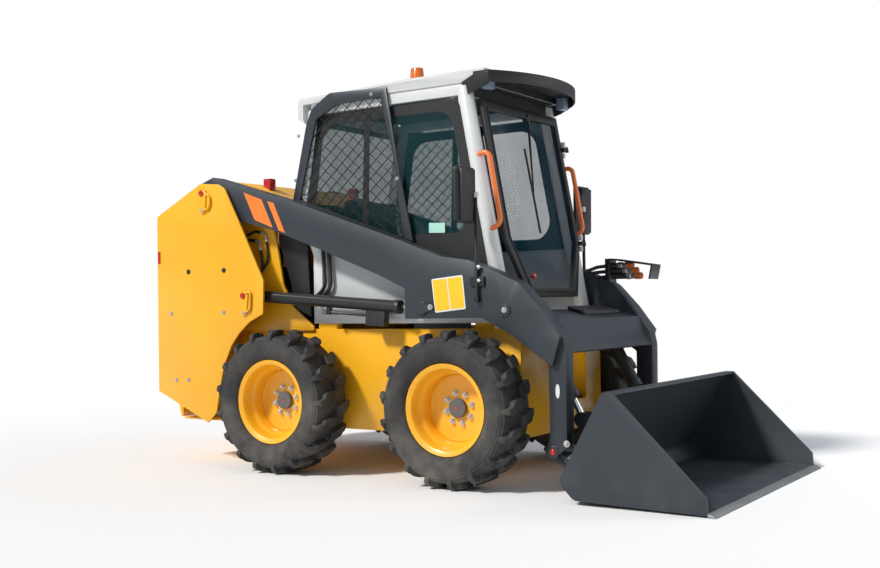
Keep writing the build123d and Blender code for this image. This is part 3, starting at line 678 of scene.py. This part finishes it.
# Hoses and fittings
# Two smooth hydraulic hoses on each side of the machine. At the tower's inner plate, two zinc elbows a side:
# from each, one rubber line runs down and another goes back inside the tower.
HOSE_R, HOSE_Y = 11, 474
ELBOW_R, LINE_R, LINE_Y = 8, 7.5, 481
hose_parts = []
for x in (-540, -580):
    route = [(x - 60, HOSE_Y, 1330), (x, HOSE_Y, 1240), (x + 18, HOSE_Y, 1000), (x - 90, HOSE_Y, 915)]
    for side in (-1, 1):
        hose_parts += mirrored(side, [tube(bent(route, 70, 8), HOSE_R, 14)])
piece("hoses_visual", hose_parts, RUBBER, "chassis", ["hoses"])
elbows, lines = [], []
for side in (-1, 1):
    for x, z in ((-988, 1307), (-1032, 1261)):
        turn = bent([(x - 30, LINE_Y, z + 14), (x, LINE_Y, z), (x + 6, LINE_Y, z - 40)], 18)
        lower_nut = lathe([(12, 0), (12, 14), (10, 16)], turn[-1], (0, 0, 1), 6)
        rear_nut = lathe([(12, -12), (12, 0)], turn[0], (-0.9, 0, 0.42), 6)
        elbows += mirrored(side, [tube(turn, ELBOW_R, 12), lower_nut, rear_nut])
        down = [turn[-1] + (0, 0, 4), (x + 22, LINE_Y, z - 150), (-1045, LINE_Y, 1080), (-1120, LINE_Y, 1010)]
        back = [turn[0] + (3, 0, -1), (x - 80, LINE_Y, z + 22), (x - 170, LINE_Y, z - 10)]
        lines += mirrored(side, [tube(bent(down, 60, 8), LINE_R, 12), tube(bent(back, 60, 6), LINE_R, 12)])
piece("tower_elbows", elbows, ZINC, "chassis")
piece("tower_lines", lines, RUBBER, "chassis")

# Grab handles
# Round orange bars bent towards the driver's hands, with round flanges bolted to the corner posts.
HANDLE_R, HANDLE_Y, HANDLE_TOP, HANDLE_FOOT = 13, 462, 1645, 1264


def pillar_x(z):
    """Front corner post's place at height z."""
    return 343 + (1935 - z) * 0.1855


grips, grip_bolts = [], []
for side in (-1, 1):
    route = [(pillar_x(HANDLE_TOP) + 10, HANDLE_Y, HANDLE_TOP), (481, HANDLE_Y, 1662), (546, HANDLE_Y, 1294),
             (pillar_x(HANDLE_FOOT) + 10, HANDLE_Y, HANDLE_FOOT)]
    grips += mirrored(side, [tube(bent(route, 55, 10), HANDLE_R, 20)])
    for z in (HANDLE_TOP, HANDLE_FOOT):
        flange = lathe([(22, 0), (22, 9), (19, 11)], (pillar_x(z) + 8, HANDLE_Y - 10, z), OUTWARDS, 28)
        grips += mirrored(side, [flange])
        grip_bolts += mirrored(side, bolt((pillar_x(z) + 8, HANDLE_Y + 1, z), OUTWARDS, 8))
piece("grab_handles_visual", grips, ORANGE, "chassis", ["grab_handles"])
piece("grab_handle_bolts", grip_bolts, ZINC, "chassis")

# Wiper, release knob and door seal
# A black wiper arm and blade on the door glass with a round cap over its spindle, a red release knob low
# on the door, and the rubber seal round the door's edge.
HINGE_Z = 1772
DOOR_UP, DOOR_OUT = np.array((-0.1824, 0, 0.9832)), np.array((0.9832, 0, 0.1824))


def on_door(u, v, out):
    """Point u to the left and v up the door from the middle of its hinge line, and out from its plane."""
    hinge = np.array((pillar_x(HINGE_Z) + 45, 0, HINGE_Z))
    return hinge + np.array((0, 1, 0)) * u + DOOR_UP * v + DOOR_OUT * out


wiper = [tube([on_door(60, 118, 22), on_door(40, 60, 30), on_door(-30, -300, 26)], (9, 7, 4), 10),
         tube([on_door(-32, -60, 20), on_door(-30, -300, 21), on_door(-26, -520, 20)], 6, 8),
         lathe([(22, -8), (22, 16), (17, 22), (4, 23)], on_door(60, 118, 10), DOOR_OUT, 24)]
piece("wiper", wiper, BLACK_PLASTIC, "cab_door")
knob = lathe([(4, 0), (4, 16), (13, 18), (16, 24), (13, 31), (4, 33)], on_door(-235, -760, 24), DOOR_OUT, 24)
piece("release_knob", [knob], RED, "cab_door")
seal = bent([on_door(u, v, 25) for u, v in ((-372, 120), (372, 120), (372, -560), (232, -830), (-232, -830),
                                            (-372, -560), (-372, 120))], 30, 5)
piece("door_seal", [tube(seal, 6, 8)], RUBBER, "cab_door")

# Mirrors
# A rounded black shell round each head, silvered glass in its rear, and zinc clamps and bolts on the stalks.
# A shell is a skin over four rounded outlines, each (y low, y high, z low, z high) at its own x.
MIRROR = paint("mirror_glass", (0.80, 0.82, 0.84), 0.05, dust=0.05, peel=0.0, scratches=0.05, metallic=1.0)
SHELL_X = (437, 441, 456, 478)
SHELL_OUTLINES = ((562, 735, 1296, 1562), (556, 740, 1290, 1566), (556, 740, 1290, 1566),
                  (596, 690, 1352, 1510))
STALK_X, STALK_Y = 481, 598
glasses, clamps, shells = [], [], []
for side in (-1, 1):
    pane = rounded([(574, 1306), (724, 1306), (724, 1552), (574, 1552)], 16)
    glasses += mirrored(side, [prism(pane, 434.5, 437.5, "x")])
    outlines = [rounded([(near, low), (far, low), (far, high), (near, high)], 22)
                for near, far, low, high in SHELL_OUTLINES]
    shell = skin([np.insert(outline, 0, x, axis=1) for outline, x in zip(outlines, SHELL_X)])
    shells += mirrored(side, [shell])
    for z in (1076, 1010):
        clamps += mirrored(side, bolt((STALK_X + 11, STALK_Y, z), (1, 0, 0), 9))
    clamps += mirrored(side, [lathe([(15, -14), (15, 14)], (STALK_X, STALK_Y, 1430), (0, 0, 1), 20)])
piece("mirror_shells", shells, BLACK_PLASTIC, "lift_arms")
piece("mirror_glasses", glasses, MIRROR, "lift_arms")
piece("mirror_clamps", clamps, ZINC, "lift_arms")

# Auxiliary couplers
# Zinc sleeves and orange dust caps on the three quick couplers, and their hoses back under the left arm.
COUPLER_Y = 535
SLEEVE = [(15, -88), (19, -84), (19, -62), (16, -58), (16, -44), (18.5, -40), (18.5, -28)]
DUST_CAP = [(17, -30), (19, -28), (19, 2), (15, 6), (4, 7)]
caps, leads, sleeves = [], [], []
for k, (x, z) in enumerate(((808, 1098), (837, 1068), (859, 1038))):
    caps.append(lathe(DUST_CAP, (x, COUPLER_Y, z), (1, 0, 0), 24))
    sleeves.append(lathe(SLEEVE, (x, COUPLER_Y, z), (1, 0, 0), 24))
    route = [(664, COUPLER_Y, z), (600, 520, z - 6), (509, 452 + 22 * k, 1049)]
    leads.append(tube(bent(route, 40), 10, 12))
piece("coupler_sleeves", sleeves, ZINC, "lift_arms")
piece("coupler_hoses", leads, RUBBER, "lift_arms")
piece("coupler_caps", caps, ORANGE, "lift_arms")

# Arm's foot and knee
# Red grease caps on the tilt pins at the foot, pin retainers with pale bolts there and at the lift rod's
# pin on the knee, and a small blank label on each leg.
LEG_FACE, KNEE_FACE = 555, 594
FOOT_PIN, FOOT_BOLT = (863, 193), (936, 236)
ROD_PIN, ROD_PIN_BOLT = (145, 875), (206, 884)
LABEL_AT, LABEL_HALF = (890, 480), (11, 34)
for side_name, side in SIDES:
    cap = lathe([(15, -1), (15, 4), (11, 8), (4, 10)], on_side(FOOT_PIN, LEG_FACE + 7), OUTWARDS, 24)
    piece(f"foot_caps_{side_name}", mirrored(side, [cap]), RED, "lift_arms")
    feet = [lathe([(30, -1), (30, 6), (27, 8)], on_side(FOOT_PIN, LEG_FACE), OUTWARDS, 40),
            flag(FOOT_PIN, FOOT_BOLT, 24, 15, LEG_FACE - 1, LEG_FACE + 5)]
    piece(f"foot_flags_{side_name}", mirrored(side, feet), CHARCOAL, "lift_arms")
    boss = [lathe([(38, -1), (38, 6), (34, 9)], on_side(ROD_PIN, ARM_FACE), OUTWARDS, 40),
            flag(ROD_PIN, ROD_PIN_BOLT, 26, 15, ARM_FACE - 1, ARM_FACE + 13)]
    piece(f"rod_pin_boss_{side_name}", mirrored(side, boss), CHARCOAL, "lift_arms")
    rod_bolt = bolt(on_side(ROD_PIN_BOLT, ARM_FACE + 13), OUTWARDS, 10)
    piece(f"rod_pin_bolt_{side_name}", mirrored(side, rod_bolt), ZINC, "lift_arms")
    pale = bolt(on_side(FOOT_BOLT, LEG_FACE + 5), OUTWARDS, 11, 12)
    pale += bolt((630, KNEE_FACE, 866), OUTWARDS, 10)
    piece(f"foot_bolts_{side_name}", mirrored(side, pale), ZINC, "lift_arms")
    label = [(LABEL_AT[0] + LABEL_HALF[0] * math.cos(t), LABEL_AT[1] + LABEL_HALF[1] * math.sin(t))
             for t in np.linspace(0, 2 * np.pi, 24, False)]
    piece(f"leg_label_{side_name}", mirrored(side, [sticker(label, LEG_FACE, 0.7)]), MARK_WHITE, "lift_arms")

# Rear and cab details
# Red reflectors on the towers' rear edges, the dark lining under the visor in front of the roof's
# cross-rail, a blank mint sticker on the right window, and the lining under the roof.
for side_name, side in SIDES:
    lens = rounded([(-1722, 1160), (-1704, 1160), (-1704, 1234), (-1722, 1234)], 6)
    reflector = prism(lens, TOWER_FACE - 1, TOWER_FACE + 3)
    piece(f"reflector_{side_name}", mirrored(side, [reflector]), RED, "chassis")
visor_lining = [block((351, -400, 1958), (354, 400, 2018)), block((352, -392, 2012), (398, 392, 2019))]
piece("visor_lining", visor_lining, BLACK_PLASTIC, "chassis")
mint = rounded([(105, 1268), (203, 1264), (203, 1315), (106, 1320)], 3)
piece("window_sticker", [prism(mint, -446.6, -445)], MINT, "chassis")
roof_lining = [block((400.5, -460, 2024), (403, 460, 2050)), block((-690, -398, 2008), (296, 398, 2016))]
piece("roof_lining", roof_lining, BLACK_PLASTIC, "chassis")

# Window borders
# Each side window has a wide black border with rounded corners and an upright bar, printed on the pane, and
# a black skirt below it down to the arm. The border joins the outline to the same outline drawn in.
WINDOW = np.array([(-598, 1197), (-709, 1443), (-628, 1950), (pillar_x(1950) - 44, 1950),
                   (pillar_x(1197) - 44, 1197)], float)
SKIRT = [(-560, 1262), (pillar_x(1262) - 40, 1262), (pillar_x(1075) - 40, 1075), (100, 1060), (-250, 1150),
         (-560, 1238)]
BAR = [(-330, 1200), (-290, 1200), (-262, 1948), (-302, 1948)]
EDGE_GAP, BORDER = 2, 58
BORDER_BACK, BORDER_FACE = 444.2, 445.4


def inset(outline, width):
    """Outline moved inwards by a width: every corner goes to where its two edges' shifted lines cross."""
    outline = np.asarray(outline, float)
    edge = np.roll(outline, -1, 0) - outline
    edge /= np.linalg.norm(edge, axis=1)[:, None]
    area = np.sum(outline[:, 0] * np.roll(outline[:, 1], -1) - outline[:, 1] * np.roll(outline[:, 0], -1))
    normal = np.stack([-edge[:, 1], edge[:, 0]], 1) * np.sign(area)
    before = np.roll(normal, 1, 0)
    return outline + width * (before + normal) / (1 + np.sum(before * normal, 1))[:, None]


for side_name, side in SIDES:
    outer = rounded(inset(WINDOW, EDGE_GAP), 12, 8)
    inner = rounded(inset(WINDOW, BORDER), 110, 8)
    levels = ((outer, BORDER_BACK), (outer, BORDER_FACE), (inner, BORDER_FACE), (inner, BORDER_BACK))
    ring = skin([np.insert(outline, 1, y, axis=1) for outline, y in levels], wrap=True)
    parts = [ring, prism(BAR, BORDER_BACK, 446), prism(SKIRT, 451, 453.5)]
    piece(f"window_border_{side_name}", mirrored(side, parts), BLACK_PLASTIC, "chassis")

# Seat
# Cushions are blown up gently from the seat's own blocks: a fine even skin of cloth under light pressure.
CLOTH_STEPS, MOST_MOVE, PRESSURE = 20, 0.014, 4.0


def evaluated_mesh(soft):
    """Mesh of an object with its modifiers applied."""
    return bpy.data.meshes.new_from_object(soft.evaluated_get(bpy.context.evaluated_depsgraph_get()))


def cushion(node, name):
    """Soft copy of a seat block: remeshed to 6 mm, its skin blown up as cloth for 20 steps with every
    move capped, then smoothed."""
    soft = bpy.data.objects.new(name, NODES[node].data.copy())
    scene.collection.objects.link(soft)
    bpy.context.view_layer.objects.active = soft
    remesh = soft.modifiers.new("remesh", "REMESH")
    remesh.mode = "VOXEL"
    remesh.voxel_size = 0.006
    bpy.context.view_layer.update()
    even = evaluated_mesh(soft)
    soft.modifiers.clear()
    soft.data = even
    rest = np.array([v.co for v in even.vertices])
    cloth = soft.modifiers.new("cloth", "CLOTH")
    cloth.settings.use_pressure = True
    cloth.settings.uniform_pressure_force = PRESSURE
    cloth.settings.effector_weights.gravity = 0
    cloth.settings.tension_stiffness = cloth.settings.compression_stiffness = 25
    cloth.point_cache.frame_start, cloth.point_cache.frame_end = 1, CLOTH_STEPS
    for step in range(1, CLOTH_STEPS + 1):
        scene.frame_set(step)
    blown = evaluated_mesh(soft)
    shift = np.array([v.co for v in blown.vertices]) - rest
    length = np.linalg.norm(shift, axis=1, keepdims=True)
    shift *= np.minimum(1, MOST_MOVE / np.maximum(length, 1e-9))
    soft.modifiers.clear()
    soft.data.vertices.foreach_set("co", (rest + shift).ravel())
    scene.frame_set(1)
    soft.data.materials.clear()
    soft.data.materials.append(VINYL)
    soft.data.polygons.foreach_set("use_smooth", np.ones(len(soft.data.polygons), bool))
    smooth = soft.modifiers.new("subdivision", "SUBSURF")
    smooth.levels = smooth.render_levels = 1
    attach(soft, "chassis")
    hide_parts(node)


cushion("seat_cushion", "seat_cushion_soft")
cushion("seat_back", "seat_back_soft")
